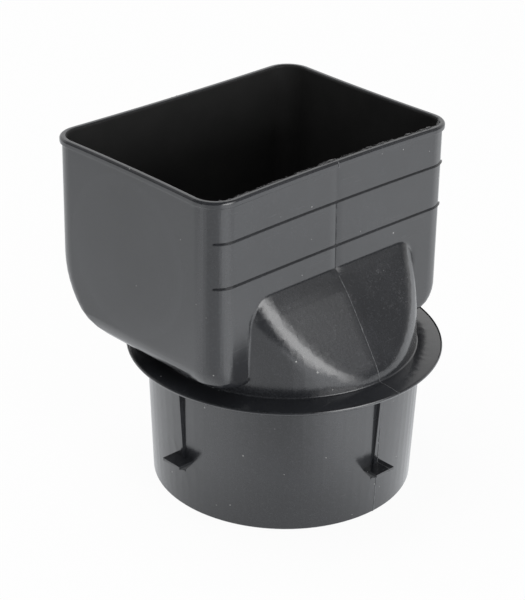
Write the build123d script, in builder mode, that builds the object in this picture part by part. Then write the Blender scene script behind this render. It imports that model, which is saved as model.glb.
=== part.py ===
from build123d import *
import math
import os

# Downspout adapter, moulded in one piece: a rectangular socket above, offset
# backwards from a round spigot that pushes into 4 inch drain pipe.
# Millimetres. +Z is up, the origin lies on the spigot's axis at its lower end,
# and -Y is the front, where the round neck bulges out below the flat wall.

# Wall of the whole moulding
wall = 1.8

# Spigot: a tapered tube, open at the bottom
spigot_end_d = 98.0
spigot_top_d = 102.4
spigot_length = 52.7
spigot_edge = 0.5

# Flange that stops the pipe
flange_d = 117.8
flange_t = 2.0
flange_edge = 0.7

# Neck above the flange and the sloping roof that closes its front
neck_d = 98.6
neck_draft = 2.0
roof_height = 34.8
roof_bulge = 1.3
roof_round = 12.0

# Rectangular socket
socket_length = 118.4
socket_front = 25.5
socket_back = 61.2
socket_corner = 9.5
socket_height = 73.4
floor_gap = 4.1
floor_side_round = 8.5
floor_front_round = 2.0
floor_back_round = 28.0
floor_sections = 12

# Bead around the rim
bead_proud = 0.9
bead_height = 2.4
rim_round = 1.0

# Two ribs across the front wall that end as they wrap round its corners
rib_proud = 0.6
rib_height = 1.0
rib_taper = 45
rib_wrap = 2.8
rib_levels = (41.0, 57.8)

# Locking tabs round the spigot, each with a fin that runs up to the flange
# and a ramp below that narrows to a point on the spigot
tab_width = 9.0
tab_reach = 6.2
tab_t = 1.1
tab_top = 21.6
ramp_drop = 5.6
parting_clearance = 2.2
fin_t = 1.1
fin_reach_top = 1.8
fin_reach_tab = 0.7

# Levels and sizes that follow
flange_top = spigot_length + flange_t
floor_level = flange_top + floor_gap
rim_level = floor_level + socket_height
bend_level = floor_level + floor_back_round
roof_level = flange_top + roof_height
neck_foot = flange_top - 2 * roof_round
spigot_slope = (spigot_top_d - spigot_end_d) / 2 / spigot_length
neck_slope = math.tan(math.radians(neck_draft))


def plan(length, front, back, corner):
    """Rounded rectangle of the socket seen from above, from -front to +back."""
    with Locations((0, (back - front) / 2)):
        RectangleRounded(length, front + back, corner)


def inset(radius, height):
    """How far a quarter round has drawn in at a height above its lowest point."""
    missing = max(radius - height, 0)
    return radius - math.sqrt(radius**2 - missing**2)


def basin(skin, top):
    """Socket with all its rounds; skin is the depth below the outer surface."""
    floor = floor_level + skin
    side = floor_side_round - skin
    front = floor_front_round - skin
    back = floor_back_round - skin
    corner = socket_corner - skin
    with BuildPart() as body:
        for step in range(floor_sections + 1):
            rise = back * (1 - math.cos(math.pi / 2 * step / floor_sections))
            with BuildSketch(Plane.XY.offset(floor + rise)):
                plan(
                    socket_length - 2 * (skin + inset(side, rise)),
                    socket_front - skin - inset(front, rise),
                    socket_back - skin - inset(back, rise),
                    corner,
                )
        loft(ruled=True)
        with BuildSketch(Plane.XY.offset(bend_level)):
            plan(
                socket_length - 2 * skin,
                socket_front - skin,
                socket_back - skin,
                corner,
            )
        extrude(amount=top - bend_level)
    return body.part


def neck(skin, bottom):
    """Tapered round neck with the sloping roof at its front; skin as for the basin."""
    top = roof_level + wall
    radius = neck_d / 2 - skin
    with BuildPart() as body:
        with BuildSketch(Plane.XZ):
            Polygon(
                (0, bottom),
                (radius + neck_slope * (flange_top - bottom), bottom),
                (radius - neck_slope * (top - flange_top), top),
                (0, top),
                align=None,
            )
        revolve(axis=Axis.Z)

        # The roof is an arc from the front wall down to the foot of the neck
        foot = Vector(-neck_d / 2, flange_top)
        head = Vector(-socket_front, roof_level)
        slope = (head - foot).normalized()
        outward = Vector(-slope.Y, slope.X)
        overrun = slope * neck_d / 4
        low_end = foot - overrun - outward * skin
        high_end = head + overrun - outward * skin
        crown = (foot + head) / 2 + outward * (roof_bulge - skin)
        with BuildSketch(Plane.YZ):
            with BuildLine():
                ThreePointArc(low_end, crown, high_end)
                Polyline(high_end, (-neck_d, high_end.Y), (-neck_d, low_end.Y), low_end)
            make_face()
        extrude(amount=neck_d, both=True, mode=Mode.SUBTRACT)
        fillet(body.edges().filter_by(GeomType.BSPLINE), roof_round - skin)
    return body.part


# Locking tab: a plate with its ramp and its fin, standing at the front of the spigot
tab_r = spigot_end_d / 2 + spigot_slope * tab_top
with BuildPart() as tab:
    with BuildSketch(Plane.XY.offset(tab_top - tab_t)) as plate:
        with Locations((0, wall / 2 - tab_r)):
            Rectangle(tab_width, tab_reach + wall / 2, align=(Align.CENTER, Align.MAX))
    extrude(amount=tab_t)
    with BuildSketch(Plane.XY.offset(tab_top - ramp_drop)) as ramp_foot:
        with Locations((0, wall / 2 - tab_r)):
            Rectangle(fin_t, wall / 2, align=(Align.CENTER, Align.MAX))
    loft(sections=(ramp_foot.sketch, plate.sketch), ruled=True)
    with BuildSketch(Plane.YZ):
        Polygon(
            (wall / 2 - tab_r, tab_top - tab_t / 2),
            (-tab_r - fin_reach_tab, tab_top - tab_t / 2),
            (-spigot_top_d / 2 - fin_reach_top, spigot_length + flange_t / 2),
            (wall / 2 - spigot_top_d / 2, spigot_length + flange_t / 2),
            align=None,
        )
    extrude(amount=fin_t / 2, both=True)

with BuildPart() as adapter:
    # Spigot and flange, still solid
    with BuildSketch(Plane.XZ) as profile:
        Polygon(
            (0, 0),
            (spigot_end_d / 2, 0),
            (spigot_top_d / 2, spigot_length),
            (flange_d / 2, spigot_length),
            (flange_d / 2, flange_top),
            (0, flange_top),
            align=None,
        )
        chamfer(profile.vertices().group_by(Axis.X)[-1], flange_edge)
        chamfer(profile.vertices().sort_by_distance((spigot_end_d / 2, 0, 0))[0], spigot_edge)
    revolve(axis=Axis.Z)

    # Neck and socket, with the bead round the rim
    add(neck(0, neck_foot))
    add(basin(0, rim_level))
    with BuildSketch(Plane.XY.offset(rim_level - bead_height)):
        plan(
            socket_length + 2 * bead_proud,
            socket_front + bead_proud,
            socket_back + bead_proud,
            socket_corner + bead_proud,
        )
    extrude(amount=bead_height)

    # Ribs: the front of a larger outline, thinning from its middle up and down
    for level in rib_levels:
        with BuildSketch(Plane.XY.offset(floor_level + level)):
            plan(
                socket_length + 2 * rib_proud,
                socket_front + rib_proud,
                socket_back,
                socket_corner + rib_proud,
            )
            with Locations((0, rib_wrap - socket_front)):
                Rectangle(
                    2 * socket_length,
                    socket_front + socket_back,
                    align=(Align.CENTER, Align.MIN),
                    mode=Mode.SUBTRACT,
                )
        extrude(amount=rib_height / 2, both=True, taper=rib_taper)

    # Tabs at the sides, and at front and back beside the mould's parting line
    with PolarLocations(0, 2, start_angle=90):
        add(tab.part)
    with PolarLocations(0, 2):
        with Locations((-parting_clearance, 0)):
            add(tab.part)

    # Inside: the socket, the neck and the spigot's bore up to a ledge under the flange
    bore_top = flange_top - wall
    add(basin(wall, rim_level + wall), mode=Mode.SUBTRACT)
    add(neck(wall, neck_foot), mode=Mode.SUBTRACT)
    with BuildSketch(Plane.XZ):
        Polygon(
            (0, -wall),
            (spigot_end_d / 2 - wall - spigot_slope * wall, -wall),
            (spigot_end_d / 2 - wall + spigot_slope * bore_top, bore_top),
            (0, bore_top),
            align=None,
        )
    revolve(axis=Axis.Z, mode=Mode.SUBTRACT)
    fillet(adapter.faces().sort_by(Axis.Z)[-1].edges(), rim_round)

adapter.part.label = "adapter"

os.makedirs("parts", exist_ok=True)
export_step(adapter.part, "parts/adapter.step")
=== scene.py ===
import math

import bmesh
import bpy
from mathutils import Matrix, Vector, noise


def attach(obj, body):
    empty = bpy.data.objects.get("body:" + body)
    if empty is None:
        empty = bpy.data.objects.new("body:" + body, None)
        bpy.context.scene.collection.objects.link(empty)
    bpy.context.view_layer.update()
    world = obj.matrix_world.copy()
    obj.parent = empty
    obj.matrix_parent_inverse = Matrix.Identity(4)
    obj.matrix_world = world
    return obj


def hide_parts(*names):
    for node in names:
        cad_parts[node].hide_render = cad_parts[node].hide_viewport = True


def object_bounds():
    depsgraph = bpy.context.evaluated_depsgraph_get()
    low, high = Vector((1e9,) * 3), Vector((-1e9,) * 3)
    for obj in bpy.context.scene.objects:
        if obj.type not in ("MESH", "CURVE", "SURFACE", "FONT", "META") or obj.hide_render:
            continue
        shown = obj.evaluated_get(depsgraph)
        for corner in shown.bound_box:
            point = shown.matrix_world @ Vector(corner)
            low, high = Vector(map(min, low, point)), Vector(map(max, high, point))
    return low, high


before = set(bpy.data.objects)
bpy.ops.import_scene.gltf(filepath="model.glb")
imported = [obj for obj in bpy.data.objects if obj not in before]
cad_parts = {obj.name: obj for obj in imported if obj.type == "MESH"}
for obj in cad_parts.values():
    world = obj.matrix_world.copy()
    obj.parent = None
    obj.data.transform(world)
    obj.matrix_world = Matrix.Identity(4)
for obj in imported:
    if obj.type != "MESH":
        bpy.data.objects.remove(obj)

cad_low, cad_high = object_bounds()

# ---------------------------------------------------------------------------
# The photographer's view: a short telephoto lens, in front, to the left of the
# adapter and above it, with the camera turned a degree about its own axis.
# ---------------------------------------------------------------------------
view_target = Vector((-0.006038, 0.005780, 0.068854))
view_azimuth = math.radians(-43.75)
view_elevation = math.radians(26.424)
view_roll = math.radians(1.036)
view_distance = 0.747766

toward_camera = Vector((
    math.sin(view_azimuth) * math.cos(view_elevation),
    -math.cos(view_azimuth) * math.cos(view_elevation),
    math.sin(view_elevation),
))
level_right = Vector((math.cos(view_azimuth), math.sin(view_azimuth), 0))
level_up = toward_camera.cross(level_right)
frame_right = math.cos(view_roll) * level_right + math.sin(view_roll) * level_up
frame_up = math.cos(view_roll) * level_up - math.sin(view_roll) * level_right

camera_data = bpy.data.cameras.new("photo_camera")
camera_data.lens = 121.23
camera_data.sensor_width = 36
camera = bpy.data.objects.new("photo_camera", camera_data)
pose = Matrix((frame_right, frame_up, toward_camera)).transposed().to_4x4()
pose.translation = view_target + toward_camera * view_distance
camera.matrix_world = pose
bpy.context.scene.collection.objects.link(camera)
bpy.context.scene.camera = camera


# ---------------------------------------------------------------------------
# The moulding: socket, neck, flange, spigot, ribs and tabs, injected in one
# shot of black plastic. Its long walls draw in a little as they cool, and the
# surface keeps the polish of the mould with a faint orange peel.
# ---------------------------------------------------------------------------
class Maker:
    """A value in a node tree: + - * add Math nodes, and make adds any other node."""

    def __init__(self, tree, socket=None):
        self.tree = tree
        self.socket = socket

    def make(self, kind, settings, sockets, out=0):
        node = self.tree.nodes.new(kind if "Node" in kind else "ShaderNode" + kind)
        for name, value in settings.items():
            setattr(node, name, value)
        for name, value in sockets.items():
            if isinstance(value, Maker):
                self.tree.links.new(value.socket, node.inputs[name])
            else:
                node.inputs[name].default_value = value
        return Maker(self.tree, node.outputs[out])

    def maths(self, operation, *values):
        return self.make("Math", {"operation": operation}, dict(enumerate(values)))

    def __add__(self, other):
        return self.maths("ADD", self, other)

    def __sub__(self, other):
        return self.maths("SUBTRACT", self, other)

    def __rsub__(self, other):
        return self.maths("SUBTRACT", other, self)

    def __mul__(self, other):
        return self.maths("MULTIPLY", self, other)

    __radd__ = __add__
    __rmul__ = __mul__

    def fade(self, low, high):
        """0 below low, 1 above high, and smooth between them."""
        return self.make(
            "MapRange",
            {"interpolation_type": "SMOOTHSTEP"},
            {"Value": self, "From Min": low, "From Max": high},
        )

    def cloud(self, place, scale, detail=2.0, rough=0.5):
        return self.make(
            "TexNoise", {}, {"Vector": place, "Scale": scale, "Detail": detail, "Roughness": rough}
        )

    def blend(self, share, first, second):
        return self.make("Mix", {"data_type": "RGBA"}, {"Factor": share, 6: first, 7: second}, 2)


def new_finish(name):
    """A material, its shader, and the maker of its other nodes."""
    material = bpy.data.materials.new(name)
    material.use_nodes = True
    tree = material.node_tree
    return material, tree.nodes["Principled BSDF"], Maker(tree)


def wire(maker, shader, values):
    for name, value in values.items():
        maker.tree.links.new(value.socket, shader.inputs[name])


black_plastic, shader, maker = new_finish("black_plastic")
shader.inputs["IOR"].default_value = 1.6
place = maker.make("TexCoord", {}, {}, "Object")
forward = maker.make("SeparateXYZ", {}, {"Vector": place}, "Y")
height = maker.make("SeparateXYZ", {}, {"Vector": place}, "Z")

# Slow clouds and a fine mottle in the polish, and an orange peel
clouds = maker.cloud(place, 32, 4, 0.6)
mottle = maker.cloud(place, 1100, 3, 0.7)
peel = maker.cloud(place, 700, 3, 0.6)

# The roof and the ridge round it are rubbed, as they take the knocks
on_roof = (1 - forward.fade(-0.030, -0.026)) * height.fade(0.055, 0.060) * (1 - height.fade(0.086, 0.091))
fine_rubs = maker.cloud(place, 700, 6, 0.75).fade(0.50, 0.70)
rubbed_patches = maker.cloud(place, 110, 3).fade(0.45, 0.65)
scuffs = on_roof * fine_rubs * rubbed_patches

# Faint scratches: the rare crests of a noise that is drawn out along one way
drawn_out = maker.make(
    "Mapping", {}, {"Vector": place, "Rotation": (0.5, 0.9, 0.4), "Scale": (40, 1600, 1600)}
)
scratches = maker.cloud(drawn_out, 1, 1).fade(0.72, 0.76)

# A faint arc on the left wall, where the hot plastic paused as it filled the mould
arc_centre = (0, 0.020, 0.098)
on_wall = maker.make("VectorMath", {"operation": "MULTIPLY"}, {0: place, 1: (0, 1, 1)})
reach = maker.make("VectorMath", {"operation": "DISTANCE"}, {0: on_wall, 1: arc_centre}, "Value")
sideways = maker.make("SeparateXYZ", {}, {"Vector": place}, "X")
on_left_wall = 1 - sideways.fade(-0.0588, -0.0580)
flow_mark = reach.fade(0.0240, 0.0300) * (1 - reach.fade(0.0300, 0.0305)) * on_left_wall

# Pale dust: grains of several sizes where a cell's centre happens to meet the skin
dust_grid = {"Vector": place, "Scale": 165}
dust_cell = maker.make("TexVoronoi", {"feature": "F1"}, dust_grid, "Distance")
dust_lot = maker.make("TexVoronoi", {"feature": "F1"}, dust_grid, "Color")
dust_size = maker.make("SeparateColor", {}, {"Color": dust_lot}, "Red")
dust = 1 - (dust_cell - dust_size * 0.035).fade(0.010, 0.028)

pale_black = (0.034, 0.036, 0.040, 1)
plastic = maker.blend(clouds.fade(0.3, 0.7), (0.0130, 0.0138, 0.0160, 1), (0.0195, 0.0207, 0.0240, 1))
mottled = maker.blend(mottle.fade(0.45, 0.75) * 0.5, plastic, pale_black)
marked = maker.blend(flow_mark * 0.30, mottled, pale_black)
scuffed = maker.blend(scuffs * 0.30, marked, (0.070, 0.073, 0.078, 1))
scratched = maker.blend(scratches * 0.14, scuffed, (0.12, 0.12, 0.125, 1))
dusty = maker.blend(dust * 0.65, scratched, (0.48, 0.48, 0.47, 1))
polish = 0.15 + clouds * 0.07 + mottle * 0.03 + scuffs * 0.12 + dust * 0.4 + flow_mark * 0.05
relief = maker.make("Bump", {}, {"Height": peel, "Strength": 0.06, "Distance": 0.0003})
wire(maker, shader, {"Base Color": dusty, "Roughness": polish, "Normal": relief})

# Inside, the core leaves the plastic duller
inner_plastic, shader, maker = new_finish("inner_plastic")
shader.inputs["IOR"].default_value = 1.45
shader.inputs["Specular IOR Level"].default_value = 0.12
place = maker.make("TexCoord", {}, {}, "Object")
clouds = maker.cloud(place, 45, 4, 0.6)
mottle = maker.cloud(place, 900, 3, 0.7)
dull = maker.blend(clouds.fade(0.3, 0.7), (0.0165, 0.0165, 0.0165, 1), (0.0205, 0.0205, 0.0203, 1))
relief = maker.make("Bump", {}, {"Height": mottle, "Strength": 0.1, "Distance": 0.0003})
wire(maker, shader, {"Base Color": dull, "Roughness": 0.42 + mottle * 0.12, "Normal": relief})

# The solid's surface, closed, with a small round on every edge that the mould leaves crisp
moulding_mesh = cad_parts["adapter"].data.copy()
moulding_mesh.name = "moulding"
skin = bmesh.new()
skin.from_mesh(moulding_mesh)
moulding_mesh.materials.clear()
moulding_mesh.materials.append(black_plastic)
moulding_mesh.materials.append(inner_plastic)
bmesh.ops.remove_doubles(skin, verts=skin.verts, dist=1e-6)

# The solid's levels and radii, and limits that take in each edge and no other
flange_top = 0.0547
flange_underside = 0.0527
front_wall = -0.0255
bead_level = 0.1298
spigot_end_r = 0.0490
spigot_slope = 0.0022 / 0.0527
touching = 2e-5
neck_foot_limit = 0.052
neck_side_limit = 0.0495
neck_top_limit = 0.092
flange_edge_limit = 0.0580
spigot_top_limit = 0.0517
tab_low, tab_high = 0.0155, 0.0526
tab_skin = 3e-4
sharp_turn = 0.25


def from_axis(vert):
    return math.hypot(vert.co.x, vert.co.y)


def off_spigot(vert):
    return from_axis(vert) - spigot_end_r - spigot_slope * vert.co.z


def on_neck_foot(vert):
    return abs(vert.co.z - flange_top) < touching and from_axis(vert) < neck_foot_limit


def on_neck_side(vert):
    in_plane = abs(vert.co.y - front_wall) < touching
    return in_plane and abs(vert.co.x) < neck_side_limit and flange_top < vert.co.z < neck_top_limit


def on_flange_edge(vert):
    in_flange = flange_underside - 1e-5 < vert.co.z < flange_top + 1e-5
    return in_flange and from_axis(vert) > flange_edge_limit


def on_spigot_top(vert):
    return abs(vert.co.z - flange_underside) < touching and from_axis(vert) < spigot_top_limit


def on_bead_foot(vert):
    return abs(vert.co.z - bead_level) < touching


def on_tab(vert):
    return tab_low < vert.co.z < tab_high and off_spigot(vert) > tab_skin


def on_tab_root(vert):
    return tab_low < vert.co.z < tab_high and abs(off_spigot(vert)) < tab_skin


for belongs, convex, width, steps in (
    (on_neck_foot, False, 0.0011, 4),
    (on_neck_side, False, 0.0008, 3),
    (on_flange_edge, True, 0.00032, 3),
    (on_spigot_top, False, 0.0005, 3),
    (on_bead_foot, True, 0.0004, 3),
    (on_bead_foot, False, 0.0003, 2),
    (on_tab, True, 0.00015, 2),
    (on_tab_root, False, 0.00035, 3),
):
    edges = [
        e for e in skin.edges
        if e.is_convex == convex and e.calc_face_angle(0) > sharp_turn and all(belongs(v) for v in e.verts)
    ]
    bmesh.ops.bevel(
        skin, geom=edges, offset=width, segments=steps, profile=0.5, affect="EDGES", clamp_overlap=True
    )

# Small faces, so that the walls can bend and shade evenly
cut_spacing = 0.0035
for axis in range(3):
    direction = Vector((0, 0, 0))
    direction[axis] = 1
    span = cad_high[axis] - cad_low[axis]
    cuts = 2 * int(span / cut_spacing / 2)
    for cut in range(1, cuts):
        bmesh.ops.bisect_plane(
            skin,
            geom=skin.verts[:] + skin.edges[:] + skin.faces[:],
            dist=1e-5,
            plane_co=direction * (cad_low[axis] + span * cut / cuts),
            plane_no=direction,
        )


def ease(value):
    """0 below 0, 1 above 1, and smooth between them."""
    value = max(0, min(1, value))
    return value * value * (3 - 2 * value)


# The faces of the core's side, by where they look: in the socket, or else in the bore and neck
socket_heart = Vector((0, 0.01785, 0.1))
inside_low = Vector((-0.0577, -0.0240, 0.0597))
inside_high = Vector((0.0577, 0.0597, cad_high[2] + 1))
bore_r = 0.0487
for face in skin.faces:
    face.normal_update()
    middle = face.calc_center_median()
    if all(low < m < high for low, m, high in zip(inside_low, middle, inside_high)):
        face.material_index = int(face.normal.dot(socket_heart - middle) > 0)
    elif math.hypot(middle.x, middle.y) < bore_r:
        face.material_index = int(face.normal.xy.dot(middle.xy) < -1e-4)

# The roof is two flats that meet in a blunt ridge where the halves of the mould met
roof_foot = Vector((0, -0.0493, flange_top))
roof_head = Vector((0, front_wall, 0.0895))
roof_out = Vector((0, roof_foot.z - roof_head.z, roof_head.y - roof_foot.y)).normalized()
roof_tilt = math.radians(1.7)
top_fade, foot_gap, foot_fade, depth_fade = 0.007, 0.001, 0.005, 0.010
skin.normal_update()
for vert in skin.verts:
    outside = vert.normal.x * vert.co.x + vert.normal.y * vert.co.y > 0
    if not outside or vert.co.y > front_wall - 1e-5 or not flange_top < vert.co.z < roof_head.z:
        continue
    share = (vert.co.z - roof_foot.z) / (roof_head.z - roof_foot.z)
    roof_y = roof_foot.y + (roof_head.y - roof_foot.y) * share
    half_width = math.sqrt(max(roof_foot.y ** 2 - roof_y ** 2, 0))
    below = -roof_out.dot(vert.co - roof_foot)
    lift = math.tan(roof_tilt) * max(half_width / 2 - abs(vert.co.x), -half_width / 2)
    lift *= ease((roof_head.z - vert.co.z) / top_fade)
    lift *= ease((vert.co.z - flange_top - foot_gap) / foot_fade)
    vert.co += roof_out * lift * (1 - ease(below / depth_fade))

# The flange thins towards its edge
flange_fall = math.tan(math.radians(6.5))
fall_from, fall_to = 0.0525, 0.0582
edge_round = 0.0004
for vert in skin.verts:
    if from_axis(vert) > fall_from and flange_top - edge_round < vert.co.z < flange_top + 1e-5:
        vert.co.z -= flange_fall * (min(from_axis(vert), fall_to) - fall_from)

# A shallow uneven groove down the front wall, on the line between those halves
groove_half = 0.00036


def near_groove(face):
    middle = face.calc_center_median()
    on_front = face.normal.y < -0.2 and middle.y < front_wall + 4e-4
    return on_front and middle.z > roof_head.z and abs(middle.x) < 0.004


for side in (-groove_half, groove_half):
    skin.normal_update()
    faces = [f for f in skin.faces if near_groove(f)]
    bmesh.ops.bisect_plane(
        skin,
        geom=faces + list({e for f in faces for e in f.edges}) + list({v for f in faces for v in f.verts}),
        dist=1e-6,
        plane_co=(side, 0, 0),
        plane_no=(1, 0, 0),
    )
# It is deepest below the lower rib, and shallow above the upper one
lower_rib, upper_rib = 0.0998, 0.1166
deep, middling, shallow = 0.00058, 0.00044, 0.00018
groove_top = 0.1297
run_in = 0.0008
groove_sway = 0.00008
for vert in skin.verts:
    on_line = abs(vert.co.x) < 1e-5 and vert.co.y < front_wall + 2e-4
    if on_line and roof_head.z + 1e-4 < vert.co.z < groove_top:
        depth = deep if vert.co.z < lower_rib else middling if vert.co.z < upper_rib else shallow
        unevenness = 1 + 0.5 * noise.noise(vert.co * 900)
        vert.co.y += depth * unevenness * ease((vert.co.z - roof_head.z) / run_in)
        vert.co.x += groove_sway * noise.noise(vert.co * 500)

socket_middle = 0.01785
socket_half_length = 0.0592
socket_half_depth = 0.04335
draw_in_level = 0.072
draw_in_front = 0.0013
draw_in_back = 0.0008
draw_in_side = 0.0006
draw_in_curve = 1.4
wall_share, wall_fade = 0.75, 0.15
long_bow, short_bow = 0.83, 0.77


def draw_in(point):
    """The free rim is pulled in between its corners, most at the top of each wall's middle."""
    rise = (point.z - draw_in_level) / (cad_high.z - draw_in_level)
    if rise <= 0:
        return point
    x_share = point.x / socket_half_length
    y_share = (point.y - socket_middle) / socket_half_depth
    front_or_back = max(0, min(1, (abs(y_share) - wall_share) / wall_fade))
    side = max(0, min(1, (abs(x_share) - wall_share) / wall_fade))
    lean = draw_in_front if y_share < 0 else draw_in_back
    pull = rise ** draw_in_curve
    in_y = lean * pull * front_or_back * max(0, 1 - (x_share / long_bow) ** 2)
    in_x = draw_in_side * pull * side * max(0, 1 - (y_share / short_bow) ** 2)
    return point - Vector((math.copysign(in_x, x_share), math.copysign(in_y, y_share), 0))


for vert in skin.verts:
    vert.co = draw_in(vert.co)

crisp_angle = math.radians(32)
for face in skin.faces:
    face.smooth = True
for edge in skin.edges:
    edge.smooth = edge.calc_face_angle(0) < crisp_angle
skin.normal_update()
skin.to_mesh(moulding_mesh)
moulding = bpy.data.objects.new("moulding", moulding_mesh)
bpy.context.scene.collection.objects.link(moulding)
flats = moulding.modifiers.new("flats_stay_flat", "WEIGHTED_NORMAL")
flats.mode = "FACE_AREA_WITH_ANGLE"
flats.keep_sharp = True
moulding.data = bpy.data.meshes.new_from_object(
    moulding.evaluated_get(bpy.context.evaluated_depsgraph_get())
)
moulding.modifiers.remove(flats)
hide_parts("adapter")
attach(moulding, "root")


# ---------------------------------------------------------------------------
# The witness line: a thin uneven ridge of the same plastic, where it crept
# between the mould's halves, on the roof, flange, spigot, bead and back. On the
# flat front wall the line is the groove that the moulding already has. Its pale
# patches are painted highlight, for the light that the thin ridge catches.
# ---------------------------------------------------------------------------
def new_recipe(name, sizes):
    """A geometry tree with one named input for each size; gives its maker and its inputs."""
    tree = bpy.data.node_groups.new(name, "GeometryNodeTree")
    tree.interface.new_socket("Geometry", in_out="INPUT", socket_type="NodeSocketGeometry")
    tree.interface.new_socket("Geometry", in_out="OUTPUT", socket_type="NodeSocketGeometry")
    for size, value in sizes.items():
        entry = tree.interface.new_socket(size, in_out="INPUT", socket_type="NodeSocketFloat")
        entry.default_value = value
    source = tree.nodes.new("NodeGroupInput")
    inputs = {out.name: Maker(tree, out) for out in source.outputs if out.name}
    return Maker(tree), inputs


def finish_recipe(recipe, shape, material):
    """Closes a tree with the nodes that every piece ends in."""
    solid = recipe.make("GeometryNodeRealizeInstances", {}, {"Geometry": shape})
    painted = recipe.make("GeometryNodeSetMaterial", {}, {"Geometry": solid, "Material": material})
    exit_node = recipe.tree.nodes.new("NodeGroupOutput")
    recipe.tree.links.new(painted.socket, exit_node.inputs[0])


def grow(name, points, joins, recipe, sizes, stands_up=0.0):
    """Runs a geometry tree on a path, and makes a plain mesh piece of what it gives."""
    path = bpy.data.meshes.new(name)
    path.from_pydata(points, joins, [])
    piece = bpy.data.objects.new(name, path)
    bpy.context.scene.collection.objects.link(piece)
    modifier = piece.modifiers.new(name, "NODES")
    modifier.node_group = recipe.tree
    for item in recipe.tree.interface.items_tree:
        if item.in_out == "INPUT" and item.name in sizes:
            modifier[item.identifier] = sizes[item.name]
    ceiling = (cad_high[0], cad_high[1], cad_high[2] + stands_up)
    grown = bpy.data.meshes.new_from_object(
        piece.evaluated_get(bpy.context.evaluated_depsgraph_get())
    )
    piece.modifiers.remove(modifier)
    piece.data = grown
    for vert in grown.vertices:
        vert.co = [max(low, min(high, v)) for low, v, high in zip(cad_low, vert.co, ceiling)]
    for face in grown.polygons:
        face.use_smooth = True
    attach(piece, "root")


# The line's pale patches are painted highlight: a lighter colour that stands in for the light the thin
# ridge catches
ridge_highlight_plastic, shader, maker = new_finish("ridge_highlight_plastic")
shader.inputs["IOR"].default_value = 1.6
place = maker.make("TexCoord", {}, {}, "Object")
ridge_highlight_patches = maker.cloud(place, 420, 4, 0.7)
pale = maker.blend(ridge_highlight_patches.fade(0.35, 0.65), (0.036, 0.037, 0.040, 1), (0.135, 0.138, 0.145, 1))
wire(maker, shader, {"Base Color": pale, "Roughness": 0.28 + ridge_highlight_patches * 0.2})

ridge_sizes = {"Spacing": 0.0004, "Half Width": 0.00015, "Unevenness": 0.3}
recipe, entry = new_recipe("witness_line", ridge_sizes)
line = recipe.make("GeometryNodeMeshToCurve", {}, {"Mesh": entry["Geometry"]})
line = recipe.make(
    "GeometryNodeResampleCurve", {"mode": "LENGTH"}, {"Curve": line, "Length": entry["Spacing"]}
)
spot = recipe.make("GeometryNodeInputPosition", {}, {})
swell = recipe.cloud(spot, 500.0, 3.0) * 6 - 3
thickness = entry["Half Width"] * (1 + entry["Unevenness"] * swell)
thickness = recipe.maths("MAXIMUM", thickness, 0.00003)
round_section = recipe.make("GeometryNodeCurvePrimitiveCircle", {}, {"Resolution": 8, "Radius": 1.0})
ridge = recipe.make(
    "GeometryNodeCurveToMesh",
    {},
    {"Curve": line, "Profile Curve": round_section, "Scale": thickness, "Fill Caps": True},
)
finish_recipe(recipe, ridge, ridge_highlight_plastic)

# The line follows the skin's own section between the halves, on its outside
flange_inner_y, flange_high = 0.045, 0.06
grooved_from, grooved_to = 0.0890, 0.1299
outer = []
for edge in skin.edges:
    if all(abs(v.co.x) < 1e-5 for v in edge.verts):
        facing = sum((f.normal for f in edge.link_faces), Vector()).normalized()
        middle = (edge.verts[0].co + edge.verts[1].co) / 2
        looks_out = facing.y * math.copysign(1, middle.y) > 0.02
        on_flange = facing.z > 0.5 and abs(middle.y) > flange_inner_y and middle.z < flange_high
        grooved = middle.y < 0 and grooved_from < middle.z < grooved_to
        if (looks_out or on_flange) and not grooved:
            outer.append([tuple(v.co) for v in edge.verts])
points = sorted({end for ends in outer for end in ends})
places = {point: i for i, point in enumerate(points)}
grow("witness_line", points, [(places[a], places[b]) for a, b in outer], recipe, ridge_sizes)
skin.free()


# ---------------------------------------------------------------------------
# Trimmed flash: the torn lip on the inner edge of the rim's front and a bit on
# the back, where plastic crept past the core and was cut away by hand.
# ---------------------------------------------------------------------------
torn_plastic, shader, maker = new_finish("torn_plastic")
shader.inputs["IOR"].default_value = 1.6
place = maker.make("TexCoord", {}, {}, "Object")
tears = maker.cloud(place, 1500, 4, 0.7)
torn = maker.blend(tears.fade(0.45, 0.75), (0.013, 0.0134, 0.0142, 1), (0.10, 0.10, 0.105, 1))
relief = maker.make("Bump", {}, {"Height": tears, "Strength": 0.5, "Distance": 0.0002})
wire(maker, shader, {"Base Color": torn, "Roughness": 0.2 + tears * 0.25, "Normal": relief})

lip_sizes = {"Spacing": 0.00035, "Reach": 0.0008, "Crumb": 0.00026, "Dense Beyond": -0.012}
recipe, entry = new_recipe("trimmed_flash", lip_sizes)
lip = recipe.make("GeometryNodeMeshToCurve", {}, {"Mesh": entry["Geometry"]})
lip = recipe.make(
    "GeometryNodeResampleCurve", {"mode": "LENGTH"}, {"Curve": lip, "Length": entry["Spacing"]}
)
spot = recipe.make("GeometryNodeInputPosition", {}, {})
along = recipe.make("SeparateXYZ", {}, {"Vector": spot}, "X")
density = 0.55 + 0.45 * (along - entry["Dense Beyond"]).fade(0.0, 0.012)
coarse = recipe.cloud(spot, 160.0, 2.0).fade(0.36, 0.56)
fine = recipe.cloud(spot, 1100.0, 4.0, 0.7).fade(0.3, 0.66)
torn_reach = entry["Reach"] * density * recipe.maths("MAXIMUM", coarse * (0.35 + 0.65 * fine), 0.1)
blade = recipe.make("GeometryNodeCurvePrimitiveCircle", {}, {"Resolution": 6, "Radius": 1.0})
torn_lip = recipe.make(
    "GeometryNodeCurveToMesh",
    {},
    {"Curve": lip, "Profile Curve": blade, "Scale": torn_reach, "Fill Caps": True},
)
lip_spot = recipe.make("GeometryNodeInputPosition", {}, {})
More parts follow.
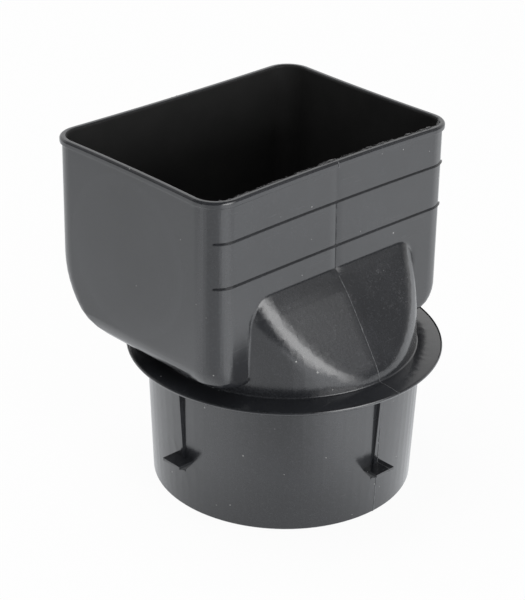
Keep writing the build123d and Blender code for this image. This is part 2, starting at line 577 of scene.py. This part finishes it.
shake = recipe.make(
    "TexNoise", {}, {"Vector": lip_spot, "Scale": 2600.0, "Detail": 2.0, "Roughness": 0.5}, "Color"
)
shift = recipe.make("VectorMath", {"operation": "SUBTRACT"}, {0: shake, 1: (0.5, 0.5, 0.5)})
shift = recipe.make("VectorMath", {"operation": "SCALE"}, {0: shift, "Scale": 0.0011})
torn_lip = recipe.make("GeometryNodeSetPosition", {}, {"Geometry": torn_lip, "Offset": shift})

# Crumbs that still hang on to the lip
lot = recipe.make("FunctionNodeRandomValue", {"data_type": "FLOAT"}, {"Seed": 3}, 1)
kept = recipe.make("FunctionNodeCompare", {"operation": "LESS_THAN"}, {0: lot, 1: density * coarse * 0.8})
scatter = recipe.make(
    "FunctionNodeRandomValue",
    {"data_type": "FLOAT_VECTOR"},
    {0: (-0.0003, -0.0002, -0.0003), 1: (0.0003, 0.0006, 0.0003), "Seed": 5},
    0,
)
loose = recipe.make("GeometryNodeSetPosition", {}, {"Geometry": lip, "Offset": scatter})
grain = recipe.make("GeometryNodeMeshIcoSphere", {}, {"Radius": 1.0, "Subdivisions": 1})
turn = recipe.make(
    "FunctionNodeRandomValue", {"data_type": "FLOAT_VECTOR"}, {1: (6.28, 6.28, 6.28), "Seed": 7}, 0
)
spread = recipe.make(
    "FunctionNodeRandomValue",
    {"data_type": "FLOAT_VECTOR"},
    {0: (0.5, 0.3, 0.3), 1: (1.9, 1.0, 0.8), "Seed": 9},
    0,
)
size = recipe.make("VectorMath", {"operation": "SCALE"}, {0: spread, "Scale": entry["Crumb"]})
crumbs = recipe.make(
    "GeometryNodeInstanceOnPoints",
    {},
    {"Points": loose, "Selection": kept, "Instance": grain, "Rotation": turn, "Scale": size},
)
both = recipe.tree.nodes.new("GeometryNodeJoinGeometry")
for shape in (torn_lip, crumbs):
    recipe.tree.links.new(shape.socket, both.inputs[0])
finish_recipe(recipe, Maker(recipe.tree, both.outputs[0]), torn_plastic)

# Along the inner edge of the front, from within the left corner to well round the right one
lip_level = 0.1320
corner_x, corner_y, corner_r = 0.0497, -0.0160, 0.0081


def corner_points(centre_x, start, count):
    """Points every 5 degrees round a front corner, from the start angle on."""
    angles = [math.radians(start + 5 * step) for step in range(count)]
    return [(centre_x + corner_r * math.cos(a), corner_y + corner_r * math.sin(a)) for a in angles]


def in_a_row(points):
    return [(i, i + 1) for i in range(len(points) - 1)]


lip_points = corner_points(-corner_x, -125, 8)
lip_points += [(corner_x * (step / 28 - 1), corner_y - corner_r) for step in range(57)]
lip_points += corner_points(corner_x, -90, 14)
points = [tuple(draw_in(Vector((x, y, lip_level)))) for x, y in lip_points]
grow("trimmed_flash", points, in_a_row(points), recipe, lip_sizes, stands_up=0.0003)

# A short torn bit on the outer edge of the back
back_x, back_y, back_level, back_step = -0.0065, 0.0614, 0.1316, 0.0005
points = [tuple(draw_in(Vector((back_x + back_step * step, back_y, back_level)))) for step in range(16)]
back_sizes = {"Spacing": 0.00035, "Reach": 0.0005, "Crumb": 0.0002, "Dense Beyond": -0.03}
grow("back_flash", points, in_a_row(points), recipe, back_sizes)


# ---------------------------------------------------------------------------
# The studio: a white sweep that fills the frame, and softboxes in front and
# above that only light. What the gloss mirrors is the sweep from below, and the
# world's dim ceiling, pale backdrop and soft glow where the front softbox is.
# ---------------------------------------------------------------------------
floor_mesh = bpy.data.meshes.new("floor")
floor_mesh.from_pydata(
    [(-4, -4, 0), (4, -4, 0), (4, 4, 0), (-4, 4, 0)], [], [(0, 1, 2, 3)]
)
floor = bpy.data.objects.new("floor", floor_mesh)
bpy.context.scene.collection.objects.link(floor)
paper, shader, maker = new_finish("white_sweep")
maker.tree.nodes.remove(shader)
place = maker.make("TexCoord", {}, {}, "Object")
sideways = maker.make("SeparateXYZ", {}, {"Vector": place}, "X")
forward = maker.make("SeparateXYZ", {}, {"Vector": place}, "Y")

# The lamps light the sweep most in front and to the right, and less behind and to the left
front_pool = (sideways - 0.6 * forward).fade(-0.03, 0.07) * (1 - forward.fade(-0.11, 0.0))
front_pool *= 1 - 0.54 * sideways.fade(0.0, 0.11) + 0.14 * sideways.fade(0.15, 0.25)
left_pool = forward.fade(-0.10, 0.0) * (1 - sideways.fade(-0.10, -0.02))
left_pool *= 1 - 0.70 * forward.fade(0.03, 0.15)
pool = 1.02 + 1.20 * front_pool + 0.66 * left_pool
matte = maker.make("BsdfDiffuse", {}, {"Color": (0.8, 0.8, 0.8, 1)})
seen = maker.make("LightPath", {}, {}, "Is Camera Ray")
mirrored = maker.make("LightPath", {}, {}, "Is Glossy Ray")
cool = maker.blend(mirrored, (1, 1, 1, 1), (0.955, 0.975, 1.0, 1))
glow = maker.make("Emission", {}, {"Color": cool, "Strength": seen + mirrored * pool})
share = seen * 0.95 + mirrored * 0.90
sweep = maker.make("MixShader", {}, {0: share, 1: matte, 2: glow})
maker.tree.links.new(sweep.socket, maker.tree.nodes["Material Output"].inputs["Surface"])
floor_mesh.materials.append(paper)

world = bpy.data.worlds.new("studio")
bpy.context.scene.world = world
world.use_nodes = True
maker = Maker(world.node_tree)
direction = maker.make("TexCoord", {}, {}, "Generated")
height = maker.make("SeparateXYZ", {}, {"Vector": direction}, "Z")
backdrop_way = (0.69, 0.72, 0)
away = maker.make("VectorMath", {"operation": "DOT_PRODUCT"}, {0: direction, 1: backdrop_way}, "Value")
backdrop = away.fade(-0.1, 0.6) * (1 - height.fade(0.45, 0.85))


def glow_round(way, stretch, near, far):
    """1 towards the given way, fading to 0 round it, and stretched along each axis."""
    off = maker.make("VectorMath", {"operation": "SUBTRACT"}, {0: direction, 1: way})
    off = maker.make("VectorMath", {"operation": "DIVIDE"}, {0: off, 1: stretch})
    return 1 - maker.make("VectorMath", {"operation": "LENGTH"}, {0: off}, "Value").fade(near, far)


box_glow = glow_round((0.080, -0.960, 0.27), (1.0, 1.0, 1.25), 0.16, 0.48)
box_spill = glow_round((0.311, -0.769, 0.559), (1.0, 1.0, 1.0), 0.05, 0.44)
box_light = maker.maths("MAXIMUM", box_glow * 6.0, box_spill * 3.8)
ceiling_light, backdrop_light, matte_light = 0.12, 0.95, 0.5
seen = maker.make("LightPath", {}, {}, "Is Camera Ray")
mirrored = maker.make("LightPath", {}, {}, "Is Glossy Ray")
in_gloss = ceiling_light + backdrop * backdrop_light + box_light
room = matte_light * (1 - mirrored) + mirrored * in_gloss
strength = seen + (1 - seen) * room
background = world.node_tree.nodes["Background"]
background.inputs["Color"].default_value = (1, 1, 1, 1)
world.node_tree.links.new(strength.socket, background.inputs["Strength"])


def softbox(name, where, aim, size, watts):
    lamp_data = bpy.data.lights.new(name, "AREA")
    lamp_data.shape = "RECTANGLE"
    lamp_data.size, lamp_data.size_y = size
    lamp_data.energy = watts
    lamp = bpy.data.objects.new(name, lamp_data)
    lamp.location = where
    lamp.rotation_euler = (Vector(where) - Vector(aim)).to_track_quat("Z", "Y").to_euler()
    lamp.visible_glossy = False
    bpy.context.scene.collection.objects.link(lamp)


softbox("front_softbox", (-0.13, -1.20, 0.36), (0, 0, 0.07), (0.50, 0.36), 7)
softbox("top_softbox", (-0.2, 0.5, 1.5), (0, 0, 0.07), (1.0, 1.0), 12)

bpy.context.scene.view_settings.view_transform = "Standard"
